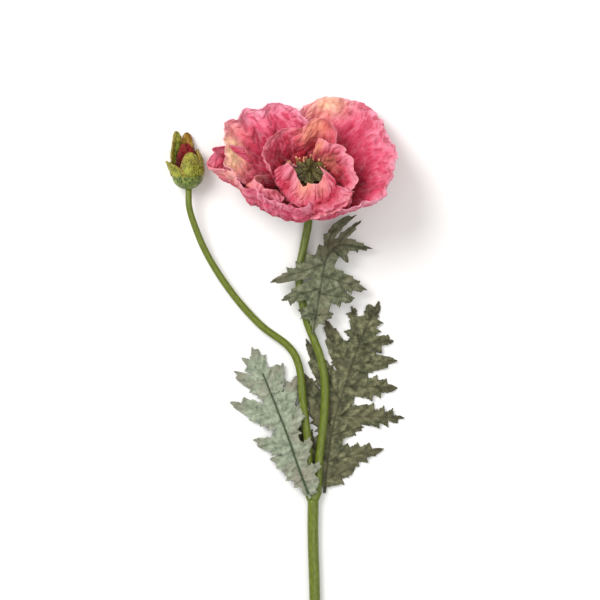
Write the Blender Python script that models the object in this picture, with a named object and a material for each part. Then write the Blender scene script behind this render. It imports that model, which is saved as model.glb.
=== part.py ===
# An artificial poppy spray, lying on a surface: an open flower, an opening bud, three lobed leaves,
# and two branch stems moulded into one main stem. Lengths below are in millimetres.
# +Y runs from the cut end of the stem to the flower, +X to the right, +Z up from the surface.

import bpy
import bmesh
import math
from mathutils import Vector

MM = 0.001

# Sheets and clearances
PETAL_THICK = 0.5
LEAF_THICK = 0.8
SEPAL_THICK = 0.8
CLEARANCE = 0.4             # kept between two pieces that touch in the real spray

# Stems
MAIN_RADIUS = 3.4
FLOWER_STEM_RADIUS = 2.6
BUD_STEM_RADIUS = 2.7
BUD_NECK_RADIUS = 2.0
STEM_BELOW_JOINT = 138.0
RIB_RADIUS = 0.6

# Joint collar
COLLAR_HALF_WIDTH = 5.8
COLLAR_HALF_HEIGHT = 3.4
COLLAR_HALF_LENGTH = 3.2
COLLAR_HEIGHT = 4.1
COLLAR_BEVEL = 0.8

# Open flower
FLOWER_X = -3.0
FLOWER_Y = 196.0
FLOWER_TILT = 40.0          # degrees from upright, leaning away from the stem
CLAW_RADIUS = 3.2           # where each petal starts, measured from the flower's axis
RECEPTACLE_RADIUS = 4.8
RECEPTACLE_DEPTH = 6.0
POD_NECK_RADIUS = 2.2
POD_NECK_TOP = 8.2
POD_RADIUS = 8.0
POD_TOP = 20.0
DISC_RADIUS = 10.5
DISC_RAYS = 10
DISC_SCALLOP = 1.2          # how much further a ray reaches than the valleys beside it
DISC_EDGE = 1.0             # thickness in a valley, at the rim
DISC_RIDGE = 0.5            # how much thicker a ray is
DISC_CROWN = 2.6            # thickness in the middle
STAMEN_COUNT = 18
STAMEN_RING = dict(inner=4.0, outer=5.8, low=6.2, high=7.2)
STAMEN_ROOT_INSET = 0.3
STAMEN_UNEVEN = 0.9         # how much taller or shorter a stamen may be
# (distance from the axis, height, half width) of each cross-section up a filament and its anther
STAMEN_SECTIONS = [(10.2, 11.5, 0.35), (12.4, 17.5, 0.35), (12.9, 19.0, 0.85), (13.4, 21.5, 0.6)]

# Bud
BUD_X = -80.0
BUD_Y = 197.0
BUD_LEAN = 4.0              # degrees, to the left of +Y
BUD_CUP_HEIGHT = 8.5
BUD_CUP_RADIUS = 9.0
SEPAL_RADIUS = 9.2
SEPAL_BELLY = 1.6
SEPAL_HALF_ANGLE = 32
SEPAL_TAPER = 0.82          # share of its width that a sepal loses towards the tip
# (centre as an angle around the bud's axis, length, how far the tip leans in) of each sepal
BUD_SEPALS = [(18, 16, 1.2), (90, 27, 2.6), (162, 28, 1.6), (234, 12, -3.0), (306, 15, 1.0)]
BUD_PETAL_COUNT = 3
BUD_PETAL_FIRST = 60        # degrees around the bud's axis
BUD_PETAL_HALF_ANGLE = 52
BUD_PETAL_RADIUS = 5.6
BUD_PETAL_BELLY = 1.8
BUD_PETAL_TIP_IN = 1.4
BUD_PETAL_LENGTH = 19
BUD_PETAL_FOLD = 0.8

PETAL_CORNER_LOSS = 0.16    # share of its reach that a petal loses at its corners

# Each petal: centre and half width as angles around the flower's axis, reach from the axis, rise at
# the rim, the power of its cup, the height it starts at, and the depth and number of its ruffles.
# A petal that overlaps the one beside it starts higher.
PETALS = {
    "outer_petal_back_right": dict(centre=14, half=74, reach=61, lift=22.5, power=1.6, base=0.0,
                                   ruffle=1.4, folds=3),
    "outer_petal_back_left": dict(centre=134, half=42, reach=62, lift=22.5, power=1.6, base=1.1,
                                  ruffle=1.4, folds=3),
    "outer_petal_front_left": dict(centre=-134, half=45, reach=52, lift=33, power=1.8, base=0.0,
                                   ruffle=1.4, folds=3),
    "outer_petal_front_right": dict(centre=-77, half=41, reach=43, lift=27, power=1.8, base=1.1,
                                    ruffle=1.0, folds=3),
    "inner_petal_back": dict(centre=120, half=66, reach=33, lift=27, power=2.0, base=3.1,
                             ruffle=1.2, folds=3),
    "inner_petal_right": dict(centre=4, half=42, reach=27, lift=28, power=2.0, base=3.1,
                              ruffle=1.0, folds=2),
    "inner_petal_front_right": dict(centre=-76, half=30, reach=39, lift=28, power=2.0, base=3.1,
                                    ruffle=1.0, folds=2),
    "inner_petal_left": dict(centre=-144, half=22, reach=44, lift=26, power=2.0, base=3.1,
                             ruffle=1.0, folds=2),
    "inner_petal_cup": dict(centre=-106, half=62, reach=25, lift=18, power=2.0, base=4.4,
                            ruffle=0.6, folds=3),
}

# Leaves
LEAF_STEPS = 80             # points read along a midrib
LEAF_LEAST_REACH = 2.2      # how far a blade reaches between two lobes near its ends...
LEAF_MIDDLE_REACH = 3.0     # ...and how much further halfway along
LOBE_SPREAD = 1.3           # a lobe's outline runs out this many half widths from its middle
RIB_START = 0.05            # where the wire rib starts, as a share of the midrib's length...
RIB_SHARE = 0.8             # ...and the share that it covers

# Each leaf: the route of its midrib, then its lobes on either side as (place along the midrib,
# reach from it, half width). "sweep" leans the lobes forward, and "edge" is the lobes' height.
LEAVES = {
    "right_leaf": dict(
        route=[(7.4, 1.5, 2.1), (9, 18, 2.3), (13, 45, 3.1), (20, 68, 3.3), (29, 95, 3.1), (41, 124, 1.2)],
        left=[(30, 27, 10), (60, 30, 9), (79, 33, 9), (96, 26, 8), (112, 15, 7)],
        right=[(19, 17, 6), (31, 34, 8), (50, 42, 10), (70, 32, 9), (89, 21, 8), (104, 15, 7)],
        sweep=0.35, edge_left=0.5, edge_right=0.5, shoulder=4.5, rib_side=-1),
    "left_leaf": dict(
        route=[(-2, -1.5, 8.7), (-9, 17, 9.6), (-17, 40, 8.8), (-29, 70, 2.4), (-40, 97, 1.6)],
        left=[(21, 12, 6), (40, 21, 8), (66, 25, 10), (87, 15, 7)],
        right=[(9, 11, 5), (18, 14, 5), (33, 14, 7), (68, 18, 8), (86, 11, 6)],
        sweep=0.40, edge_left=1.6, edge_right=None, shoulder=12.0, rib_side=1),
    "upper_leaf": dict(
        route=[(0, 104, 10.4), (3, 122, 12.5), (6, 140, 14.5), (9, 153, 15.5), (18, 161, 14), (37, 158, 9)],
        left=[(9, 26, 6), (20, 35, 8), (44, 18, 8), (66, 19, 7)],
        right=[(9, 12, 5), (20, 29, 8), (66, 9, 7)],
        sweep=0.35, edge_left=10.5, edge_right=10.5, shoulder=14.0, rib_side=-1),
}


def hex_colour(text):
    # sRGB hex to the linear values that a shader takes
    channels = [int(text[i:i + 2], 16) / 255 for i in (1, 3, 5)]
    linear = [c / 12.92 if c <= 0.04045 else ((c + 0.055) / 1.055) ** 2.4 for c in channels]
    return (*linear, 1.0)


def make_material(name, colour, roughness):
    material = bpy.data.materials.new(name)
    material.use_nodes = True
    shader = material.node_tree.nodes["Principled BSDF"]
    shader.inputs["Base Color"].default_value = hex_colour(colour)
    shader.inputs["Roughness"].default_value = roughness
    shader.inputs["Metallic"].default_value = 0.0
    material.diffuse_color = hex_colour(colour)
    return material


def add_empty(name, parent, location=(0, 0, 0), rotation=(0, 0, 0)):
    empty = bpy.data.objects.new(name, None)
    empty.location = Vector(location) * MM
    empty.rotation_euler = [math.radians(angle) for angle in rotation]
    empty.parent = parent
    bpy.context.collection.objects.link(empty)
    return empty


def add_object(name, data, material, parent):
    data.materials.append(material)
    obj = bpy.data.objects.new(name, data)
    obj.parent = parent
    bpy.context.collection.objects.link(obj)
    return obj


def mesh_from_bmesh(name, bm):
    bmesh.ops.recalc_face_normals(bm, faces=bm.faces)
    mesh = bpy.data.meshes.new(name)
    bm.to_mesh(mesh)
    bm.free()
    mesh.shade_smooth()
    return mesh


def smooth_route(points, count):
    # Catmull-Rom curve through the points, read at evenly spaced steps
    points = [Vector(p) for p in points]
    padded = [2 * points[0] - points[1], *points, 2 * points[-1] - points[-2]]
    fine = []
    for i in range(1, len(padded) - 2):
        a, b, c, d = padded[i - 1:i + 3]
        for step in range(20):
            t = step / 20
            fine.append(0.5 * (2 * b + (c - a) * t + (2 * a - 5 * b + 4 * c - d) * t * t
                               + (3 * b - a - 3 * c + d) * t ** 3))
    fine.append(points[-1])
    walked = [0.0]
    for p, q in zip(fine, fine[1:]):
        walked.append(walked[-1] + (q - p).length)
    route = []
    k = 0
    for i in range(count + 1):
        target = walked[-1] * i / count
        while k < len(walked) - 2 and walked[k + 1] < target:
            k += 1
        share = (target - walked[k]) / (walked[k + 1] - walked[k])
        route.append(fine[k].lerp(fine[k + 1], min(share, 1.0)))
    return route, walked[-1]


def add_tube(name, points, count, radius, end_radius, resolution, material, parent):
    curve = bpy.data.curves.new(name, "CURVE")
    curve.dimensions = "3D"
    curve.bevel_depth = radius * MM
    curve.bevel_resolution = resolution
    curve.use_fill_caps = True
    spline = curve.splines.new("POLY")
    route, _ = smooth_route(points, count)
    spline.points.add(len(route) - 1)
    for i, point in enumerate(route):
        spline.points[i].co = (*(point * MM), 1.0)
        spline.points[i].radius = 1 + (end_radius / radius - 1) * i / count
    spline.use_smooth = True
    return add_object(name, curve, material, parent)


def add_sheet(name, surface, across_steps, along_steps, thickness, material, parent):
    # a thin shell over surface(across, along), with across from -1 to 1 and along from 0 to 1
    bm = bmesh.new()
    rows = []
    for j in range(along_steps + 1):
        row = []
        for i in range(across_steps + 1):
            point = surface(2 * i / across_steps - 1, j / along_steps)
            row.append(bm.verts.new(Vector(point) * MM))
        rows.append(row)
    for low, high in zip(rows, rows[1:]):
        for i in range(across_steps):
            bm.faces.new((low[i], low[i + 1], high[i + 1], high[i]))
    obj = add_object(name, mesh_from_bmesh(name, bm), material, parent)
    solidify = obj.modifiers.new("Thickness", "SOLIDIFY")
    solidify.thickness = thickness * MM
    solidify.offset = 0
    return obj


def add_turned(name, profile, steps, material, parent):
    # a solid of revolution about local Z; the profile starts and ends on the axis
    bm = bmesh.new()
    verts = [bm.verts.new((r * MM, 0, h * MM)) for r, h in profile]
    edges = [bm.edges.new(pair) for pair in zip(verts, verts[1:])]
    bmesh.ops.spin(bm, geom=verts + edges, cent=(0, 0, 0), axis=(0, 0, 1), angle=2 * math.pi,
                   steps=steps, use_merge=True)
    bmesh.ops.remove_doubles(bm, verts=bm.verts, dist=0.00001)
    mesh = mesh_from_bmesh(name, bm)
    mesh.set_sharp_from_angle(angle=math.radians(50))
    return add_object(name, mesh, material, parent)


def petal_surface(petal):
    def surface(across, along):
        reach = petal["reach"] * (1 - PETAL_CORNER_LOSS * abs(across) ** 3)
        radius = CLAW_RADIUS + (reach - CLAW_RADIUS) * along
        angle = math.radians(petal["centre"] + petal["half"] * across)
        wave = petal["ruffle"] * along ** 2 * math.sin(petal["folds"] * math.pi * across)
        height = petal["base"] + petal["lift"] * (radius / petal["reach"]) ** petal["power"] + wave
        return radius * math.cos(angle), radius * math.sin(angle), height
    return surface


def make_petals(flower, outer_material, inner_material):
    for name, petal in PETALS.items():
        is_outer = name.startswith("outer")
        material = outer_material if is_outer else inner_material
        across_steps = 12 if is_outer else 10
        add_sheet(name, petal_surface(petal), across_steps, 7, PETAL_THICK, material, flower)


def make_receptacle(flower, material):
    depth = RECEPTACLE_DEPTH
    profile = [(0, -depth), (3.0, -depth), (RECEPTACLE_RADIUS - 0.3, -depth * 0.6),
               (RECEPTACLE_RADIUS, -1.5), (RECEPTACLE_RADIUS - 0.6, -0.8), (0, -0.8)]
    add_turned("receptacle", profile, 16, material, flower)


def make_pod(flower, material):
    neck = POD_NECK_RADIUS
    profile = [(0, -0.4), (neck, -0.4), (neck, POD_NECK_TOP), (5.4, 10.0), (POD_RADIUS, 13.5),
               (POD_RADIUS, POD_TOP - 3), (POD_RADIUS - 1.6, POD_TOP), (0, POD_TOP)]
    add_turned("pod", profile, 16, material, flower)


def make_stigma_disc(flower, material):
    # a scalloped cap whose rays rise between shallow valleys
    count = DISC_RAYS * 4
    bottom = POD_TOP + CLEARANCE
    bm = bmesh.new()
    under = []
    over = []
    for i in range(count):
        turn = 2 * math.pi * i / count
        ray = 0.5 + 0.5 * math.cos(DISC_RAYS * turn)
        radius = DISC_RADIUS - DISC_SCALLOP * (1 - ray)
        spot = Vector((math.cos(turn), math.sin(turn), 0)) * radius
        thick = DISC_EDGE + DISC_RIDGE * ray
        under.append(bm.verts.new((spot + Vector((0, 0, bottom))) * MM))
        over.append(bm.verts.new((spot + Vector((0, 0, bottom + thick))) * MM))
    foot = bm.verts.new(Vector((0, 0, bottom)) * MM)
    crown = bm.verts.new(Vector((0, 0, bottom + DISC_CROWN)) * MM)
    for i in range(count):
        n = (i + 1) % count
        bm.faces.new((under[n], under[i], foot))
        bm.faces.new((over[i], over[n], crown))
        bm.faces.new((under[i], under[n], over[n], over[i]))
    add_object("stigma_disc", mesh_from_bmesh("stigma_disc", bm), material, flower)


def make_stamens(flower, material):
    # a ring about the pod's neck; a filament with an anther grows from each top face
    inner, outer, low, high = (STAMEN_RING[key] for key in ("inner", "outer", "low", "high"))
    bm = bmesh.new()
    rings = []
    for radius, height in ((inner, low), (outer, low), (outer, high), (inner, high)):
        ring = []
        for i in range(STAMEN_COUNT):
            turn = 2 * math.pi * i / STAMEN_COUNT
            spot = Vector((radius * math.cos(turn), radius * math.sin(turn), height))
            ring.append(bm.verts.new(spot * MM))
        rings.append(ring)
    tops = []
    for k in range(4):
        here, there = rings[k], rings[(k + 1) % 4]
        for i in range(STAMEN_COUNT):
            n = (i + 1) % STAMEN_COUNT
            face = bm.faces.new((here[i], here[n], there[n], there[i]))
            if k == 2:
                tops.append(face)
    bmesh.ops.recalc_face_normals(bm, faces=bm.faces)
    bmesh.ops.inset_individual(bm, faces=tops, thickness=STAMEN_ROOT_INSET * MM)
    for index, face in enumerate(tops):
        outward = face.calc_center_median()
        outward.z = 0
        outward.normalize()
        sideways = Vector((-outward.y, outward.x, 0))
        taller = STAMEN_UNEVEN * math.sin(index * 2.4)
        for radius, height, half in STAMEN_SECTIONS:
            face = bmesh.ops.extrude_discrete_faces(bm, faces=[face])["faces"][0]
            centre = outward * radius + Vector((0, 0, height + taller))
            middle = face.calc_center_median()
            for vert in face.verts:
                side = 1 if (vert.co - middle).dot(sideways) > 0 else -1
                front = 1 if (vert.co - middle).dot(outward) > 0 else -1
                vert.co = (centre + sideways * side * half + outward * front * half) * MM
    add_object("stamens", mesh_from_bmesh("stamens", bm), material, flower)


def lobe_reach(lobes, place):
    # how far the blade reaches from its midrib at a place along it
    reach = 0.0
    for centre, tip, half in lobes:
        offset = abs(place - centre) / half
        if offset < LOBE_SPREAD:
            reach = max(reach, tip * math.cos(offset / LOBE_SPREAD * math.pi / 2) ** 0.8)
    return reach


def leaf_surface(leaf):
    route, length = smooth_route(leaf["route"], LEAF_STEPS)

    def surface(across, along):
        place = along * length
        index = min(int(along * LEAF_STEPS), LEAF_STEPS - 1)
        spine = route[index].lerp(route[index + 1], along * LEAF_STEPS - index)
        heading = route[min(index + 2, LEAF_STEPS)] - route[max(index - 1, 0)]
        heading.z = 0
        heading.normalize()
        right = Vector((heading.y, -heading.x, 0))
        lobes = leaf["right"] if across > 0 else leaf["left"]
        edge = leaf["edge_right"] if across > 0 else leaf["edge_left"]
        narrow = min(1.0, 0.4 + 6 * along, 0.12 + 9 * (1 - along))   # at the leaf's two ends
        least = LEAF_LEAST_REACH + LEAF_MIDDLE_REACH * math.sin(math.pi * along)
        reach = max(lobe_reach(lobes, place), least) * narrow
        out = across * reach
        point = spine + right * out + heading * abs(out) * leaf["sweep"]
        if edge is not None:
            keep = math.exp(-(out / leaf["shoulder"]) ** 2)
            point.z = min(edge, spine.z) + (spine.z - min(edge, spine.z)) * keep
        return point
    return surface


def make_leaves(spray, material, rib_material):
    for name, leaf in LEAVES.items():
        surface = leaf_surface(leaf)
        add_sheet(name, surface, 4, 36, LEAF_THICK, material, spray)
        lift = leaf["rib_side"] * (LEAF_THICK / 2 + RIB_RADIUS + CLEARANCE * 0.75)
        rib = [surface(0, RIB_START + RIB_SHARE * i / 8) + Vector((0, 0, lift)) for i in range(9)]
        add_tube(name + "_rib", rib, 12, RIB_RADIUS, RIB_RADIUS * 0.6, 1, rib_material, spray)


def make_main_stem(spray, material):
    end = -COLLAR_HALF_LENGTH - CLEARANCE
    route = [(1.2, -STEM_BELOW_JOINT, MAIN_RADIUS), (1.4, -100, MAIN_RADIUS), (1.0, -62, MAIN_RADIUS),
             (0, -28, MAIN_RADIUS + 0.2), (0, end, COLLAR_HEIGHT - 0.2)]
    add_tube("main_stem", route, 12, MAIN_RADIUS, MAIN_RADIUS * 1.04, 4, material, spray)


def make_stem_joint(spray, material):
    bm = bmesh.new()
    bmesh.ops.create_cone(bm, cap_ends=True, segments=20, radius1=1, radius2=1, depth=2)
    for vert in bm.verts:
        x, y, z = vert.co
        vert.co = Vector((x * COLLAR_HALF_WIDTH, z * COLLAR_HALF_LENGTH,
                          y * COLLAR_HALF_HEIGHT + COLLAR_HEIGHT)) * MM
    bmesh.ops.recalc_face_normals(bm, faces=bm.faces)
    rims = [edge for edge in bm.edges if abs(edge.verts[0].co.y - edge.verts[1].co.y) < 0.1 * MM]
    bmesh.ops.bevel(bm, geom=rims, offset=COLLAR_BEVEL * MM, segments=2, affect="EDGES")
    add_object("stem_joint", mesh_from_bmesh("stem_joint", bm), material, spray)


def make_flower_stem(spray, flower, material):
    start = COLLAR_HALF_LENGTH + CLEARANCE
    axis = flower.rotation_euler.to_matrix() @ Vector((0, 0, 1))
    end = flower.location / MM - axis * (RECEPTACLE_DEPTH + CLEARANCE)
    route = [(2.8, start, 4.6), (4, 24, 5.2), (7, 50, 5.8), (7.5, 73, 6.0), (4, 91, 5.8), (-4, 112, 5.6),
             (-8, 130, 5.4), (-9, 144, 4.8), (-6, 160, 3.8), (-3, 176, 3.4), end - axis * 8, end]
    add_tube("flower_stem", route, 24, FLOWER_STEM_RADIUS, FLOWER_STEM_RADIUS, 2, material, spray)


def make_bud_stem(spray, bud, material):
    start = COLLAR_HALF_LENGTH + CLEARANCE
    axis = bud.rotation_euler.to_matrix() @ Vector((0, 0, 1))
    end = bud.location / MM - axis * CLEARANCE
    route = [(-2.9, start, 4.6), (-3.2, 32, 5.0), (-6.5, 60, 5.5), (-9, 83, 5.5), (-16, 96, 5.2),
             (-33, 109, 5.0), (-48, 125, 5.5), (-61, 143, 6.5), (-71, 161, 8.0), end - axis * 14, end]
    add_tube("bud_stem", route, 26, BUD_STEM_RADIUS, BUD_NECK_RADIUS, 2, material, spray)


def make_bud_cup(bud, material):
    profile = [(0, 0), (2.4, 0), (5.2, 1.4), (7.8, 4.4), (BUD_CUP_RADIUS, BUD_CUP_HEIGHT),
               (0, BUD_CUP_HEIGHT)]
    add_turned("bud_cup", profile, 16, material, bud)


def sepal_surface(centre, length, tip_in):
    def surface(across, along):
        half = SEPAL_HALF_ANGLE * (1 - SEPAL_TAPER * along ** 3)
        angle = math.radians(centre + half * across)
        radius = SEPAL_RADIUS + SEPAL_BELLY * math.sin(math.pi * along) - tip_in * along ** 3
        return radius * math.cos(angle), radius * math.sin(angle), length * along
    return surface


def bud_petal_surface(centre):
    def surface(across, along):
        angle = math.radians(centre + BUD_PETAL_HALF_ANGLE * across)
        fold = BUD_PETAL_FOLD * along * math.sin(3 * math.pi * across)
        belly = BUD_PETAL_BELLY * math.sin(math.pi * along * 0.8)
        radius = BUD_PETAL_RADIUS + belly - BUD_PETAL_TIP_IN * along + fold
        height = BUD_PETAL_LENGTH * along * (1 - 0.12 * across ** 2)
        return radius * math.cos(angle), radius * math.sin(angle), height
    return surface


def above_cup(surface):
    # the same surface, started just clear of the bud's cup
    start = BUD_CUP_HEIGHT + CLEARANCE + SEPAL_THICK / 4

    def raised(across, along):
        x, y, height = surface(across, along)
        return x, y, start + height
    return raised


def make_bud_sepals(bud, material):
    for number, (centre, length, tip_in) in enumerate(BUD_SEPALS):
        surface = above_cup(sepal_surface(centre, length, tip_in))
        add_sheet(f"bud_sepal_{number + 1}", surface, 4, 6, SEPAL_THICK, material, bud)


def make_bud_petals(bud, material):
    for number in range(BUD_PETAL_COUNT):
        surface = above_cup(bud_petal_surface(BUD_PETAL_FIRST + 360 * number / BUD_PETAL_COUNT))
        add_sheet(f"bud_petal_{number + 1}", surface, 8, 5, PETAL_THICK, material, bud)


def world_bounds(objects):
    bpy.context.view_layer.update()
    graph = bpy.context.evaluated_depsgraph_get()
    points = []
    for obj in objects:
        evaluated = obj.evaluated_get(graph)
        mesh = evaluated.to_mesh()
        points.extend(evaluated.matrix_world @ vert.co for vert in mesh.vertices)
        evaluated.to_mesh_clear()
    low = Vector([min(p[i] for p in points) for i in range(3)])
    high = Vector([max(p[i] for p in points) for i in range(3)])
    return low, high


def lower_to_surface(empty):
    # moves a group straight up or down until its lowest point is at height zero
    low, _ = world_bounds(empty.children)
    empty.location.z -= low.z


def main():
    for obj in list(bpy.data.objects):
        bpy.data.objects.remove(obj, do_unlink=True)

    stem_green = make_material("stem_green", "#5F7A2E", 0.5)
    leaf_fabric = make_material("leaf_fabric", "#77845F", 0.85)
    rib_green = make_material("rib_green", "#3F5A36", 0.6)
    petal_fabric = make_material("petal_fabric", "#E4647F", 0.85)
    inner_fabric = make_material("inner_petal_fabric", "#B83A4E", 0.85)
    bud_green = make_material("bud_green", "#7E8430", 0.6)
    bud_fabric = make_material("bud_petal_fabric", "#9C3A34", 0.85)
    pod_green = make_material("pod_green", "#6B6228", 0.65)
    stamen_tan = make_material("stamen_tan", "#D9A070", 0.7)

    spray = add_empty("spray", None)
    flower = add_empty("flower", spray, (FLOWER_X, FLOWER_Y, 18), (-FLOWER_TILT, 0, 0))
    bud = add_empty("bud", spray, (BUD_X, BUD_Y, 12), (-90, 0, BUD_LEAN))

    make_receptacle(flower, bud_green)
    make_petals(flower, petal_fabric, inner_fabric)
    make_pod(flower, pod_green)
    make_stigma_disc(flower, pod_green)
    make_stamens(flower, stamen_tan)
    lower_to_surface(flower)

    make_bud_cup(bud, bud_green)
    make_bud_sepals(bud, bud_green)
    make_bud_petals(bud, bud_fabric)
    lower_to_surface(bud)

    make_main_stem(spray, stem_green)
    make_stem_joint(spray, stem_green)
    make_flower_stem(spray, flower, stem_green)
    make_bud_stem(spray, bud, stem_green)
    make_leaves(spray, leaf_fabric, rib_green)

    low, high = world_bounds([obj for obj in bpy.data.objects if obj.type != "EMPTY"])
    spray.location -= Vector(((low.x + high.x) / 2, (low.y + high.y) / 2, low.z))
    bpy.context.view_layer.update()


main()
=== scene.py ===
import math
import bpy
import numpy as np
from mathutils import Matrix, Vector, noise


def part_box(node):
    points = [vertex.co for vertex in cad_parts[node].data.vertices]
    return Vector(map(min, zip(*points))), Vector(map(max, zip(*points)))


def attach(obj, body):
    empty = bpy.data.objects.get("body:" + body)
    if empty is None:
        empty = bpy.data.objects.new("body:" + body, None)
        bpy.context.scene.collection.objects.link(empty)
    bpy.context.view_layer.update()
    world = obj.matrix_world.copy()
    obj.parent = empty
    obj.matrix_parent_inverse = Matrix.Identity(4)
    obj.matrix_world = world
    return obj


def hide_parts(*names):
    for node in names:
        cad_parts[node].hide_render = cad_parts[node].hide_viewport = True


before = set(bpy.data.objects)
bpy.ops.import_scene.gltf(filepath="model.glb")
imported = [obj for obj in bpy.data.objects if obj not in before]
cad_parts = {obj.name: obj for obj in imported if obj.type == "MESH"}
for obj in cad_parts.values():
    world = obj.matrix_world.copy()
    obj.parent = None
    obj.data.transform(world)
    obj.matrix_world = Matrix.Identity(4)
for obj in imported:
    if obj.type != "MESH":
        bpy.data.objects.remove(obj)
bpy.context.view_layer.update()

mm = 0.001
collarHeight = 4.1 * mm
collarLow, collarHigh = (Vector(corner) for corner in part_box("stem_joint"))
joint = (collarLow + collarHigh) / 2 - Vector((0, 0, collarHeight))   # under the collar, on the surface


def srgb(text):
    channels = [int(text[i:i + 2], 16) / 255 for i in (1, 3, 5)]
    linear = [c / 12.92 if c <= 0.04045 else ((c + 0.055) / 1.055) ** 2.4 for c in channels]
    return (*linear, 1.0)


def addNode(tree, kind, inputs=None, stops=None, **settings):
    node = tree.nodes.new(kind)
    for name, value in settings.items():
        setattr(node, name, value)
    for key, value in (inputs or {}).items():
        if isinstance(value, bpy.types.NodeSocket):
            tree.links.new(value, node.inputs[key])
        else:
            node.inputs[key].default_value = value
    if stops:
        ramp = node.color_ramp
        while len(ramp.elements) < len(stops):
            ramp.elements.new(0.5)
        for element, (place, colour) in zip(ramp.elements, stops):
            element.position = place
            element.color = srgb(colour)
    return node


def startMaterial(name):
    material = bpy.data.materials.new(name)
    material.use_nodes = True
    tree = material.node_tree
    tree.nodes.clear()
    return material, tree


def meshPiece(name, points, faces, values=None, uvs=None):
    # points in metres; values are one number for each point, by attribute name
    mesh = bpy.data.meshes.new(name)
    mesh.from_pydata([tuple(p) for p in points], [], faces)
    for key, numbers in (values or {}).items():
        layer = mesh.attributes.new(key, "FLOAT", "POINT")
        layer.data.foreach_set("value", np.asarray(numbers, dtype=np.float32).ravel())
    if uvs is not None:
        layer = mesh.uv_layers.new(name="along")
        corners = np.zeros(len(mesh.loops), dtype=np.int32)
        mesh.loops.foreach_get("vertex_index", corners)
        layer.data.foreach_set("uv", np.asarray(uvs, dtype=np.float32)[corners].ravel())
    mesh.validate()
    mesh.shade_smooth()
    piece = bpy.data.objects.new(name, mesh)
    bpy.context.collection.objects.link(piece)
    return piece


def thicken(piece, millimetres, backMaterial=False):
    shell = piece.modifiers.new("thickness", "SOLIDIFY")
    shell.thickness = millimetres * mm
    shell.offset = 0
    shell.use_quality_normals = True
    if backMaterial:
        shell.material_offset = 1
        shell.material_offset_rim = 0


def settle(piece, node, slot, *materials):
    for material in materials:
        piece.data.materials.append(material)
    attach(piece, "root")
    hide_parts(node)


def fractal(x, y, seed, octaves=3):
    total, size, scale = 0.0, 1.0, 1.0
    for _ in range(octaves):
        total += size * noise.noise(Vector((x * scale, y * scale, seed)))
        size *= 0.5
        scale *= 2.03
    return total


def fieldOf(xs, ys, seed, octaves=3):
    flat = [fractal(x, y, seed, octaves) for x, y in zip(xs.ravel(), ys.ravel())]
    return np.array(flat).reshape(xs.shape)


def gridFaces(rows, columns):
    corners = [(j * columns + i, j * columns + i + 1) for j in range(rows - 1) for i in range(columns - 1)]
    return [(a, b, b + columns, a + columns) for a, b in corners]


def sheetGrid(rows, columns):
    # u runs from -1 to 1 across a sheet, v from 0 to 1 along it
    return np.meshgrid(np.linspace(-1, 1, columns), np.linspace(0, 1, rows))


def ringFaces(rings, sides, first=0):
    # quads between rings of points, each ring counted anticlockwise
    faces = []
    for k in range(rings - 1):
        for i in range(sides):
            n = (i + 1) % sides
            low, high = first + k * sides, first + (k + 1) * sides
            faces.append((low + i, low + n, high + n, high + i))
    return faces


def fanFaces(ring, sides, centre, turn):
    # triangles from a ring's first point to a centre; turn is 1 or -1
    return [(ring + i, ring + (i + 1) % sides, centre)[::turn] for i in range(sides)]


def normalsOf(grid):
    alongRows = np.gradient(grid, axis=0)
    alongColumns = np.gradient(grid, axis=1)
    normal = np.cross(alongColumns, alongRows)
    return normal / (np.linalg.norm(normal, axis=2, keepdims=True) + 1e-12)


def placeGrid(grid, matrix):
    # millimetres in a piece's own frame to metres in the world
    return grid.reshape(-1, 3) * mm @ np.array(matrix.to_3x3()).T + np.array(matrix.translation)


def smoothRoute(points, count):
    points = [Vector(p) for p in points]
    padded = [2 * points[0] - points[1], *points, 2 * points[-1] - points[-2]]
    fine = []
    for i in range(1, len(padded) - 2):
        a, b, c, d = padded[i - 1:i + 3]
        for step in range(24):
            t = step / 24
            fine.append(0.5 * (2 * b + (c - a) * t + (2 * a - 5 * b + 4 * c - d) * t * t
                               + (3 * b - a - 3 * c + d) * t ** 3))
    fine.append(points[-1])
    lengths = np.cumsum([0] + [(q - p).length for p, q in zip(fine, fine[1:])])
    wanted = np.linspace(0, lengths[-1], count + 1)
    table = np.array([list(p) for p in fine])
    return np.stack([np.interp(wanted, lengths, table[:, k]) for k in range(3)], axis=1), lengths[-1]


def sweepTube(name, route, radii, sides, seed=0.0, rough=0.0):
    # a closed tube along a route in millimetres
    count = len(route)
    tangents = np.gradient(route, axis=0)
    tangents /= np.linalg.norm(tangents, axis=1, keepdims=True)
    points, uvs = [], []
    side = Vector((1, 0, 0))
    walked = 0.0
    for k in range(count):
        tangent = Vector(tangents[k])
        side = (side - tangent * side.dot(tangent)).normalized()
        up = side.cross(tangent)
        walked += np.linalg.norm(route[k] - route[k - 1]) if k else 0.0
        for i in range(sides):
            turn = 2 * math.pi * i / sides
            swell = 1 + rough * fractal(math.cos(turn) * 1.2 + walked * 0.08, math.sin(turn) * 1.2, seed, 2)
            spoke = side * math.cos(turn) + up * math.sin(turn)
            points.append(joint + (Vector(route[k]) + float(radii[k] * swell) * spoke) * mm)
            uvs.append((i / sides, walked / 10))
    faces = [face[::-1] for face in ringFaces(count, sides)]
    for k, turn in ((0, 1), (count - 1, -1)):
        faces += fanFaces(k * sides, sides, len(points), turn)
        points.append(joint + Vector(route[k]) * mm)
        uvs.append((0.5, k / count))
    return meshPiece(name, points, faces, uvs=uvs)


view = dict(centreX=-8.4, centreY=125.8, frameWidth=387.0, lens=250.0, sensor=36.0)


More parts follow.
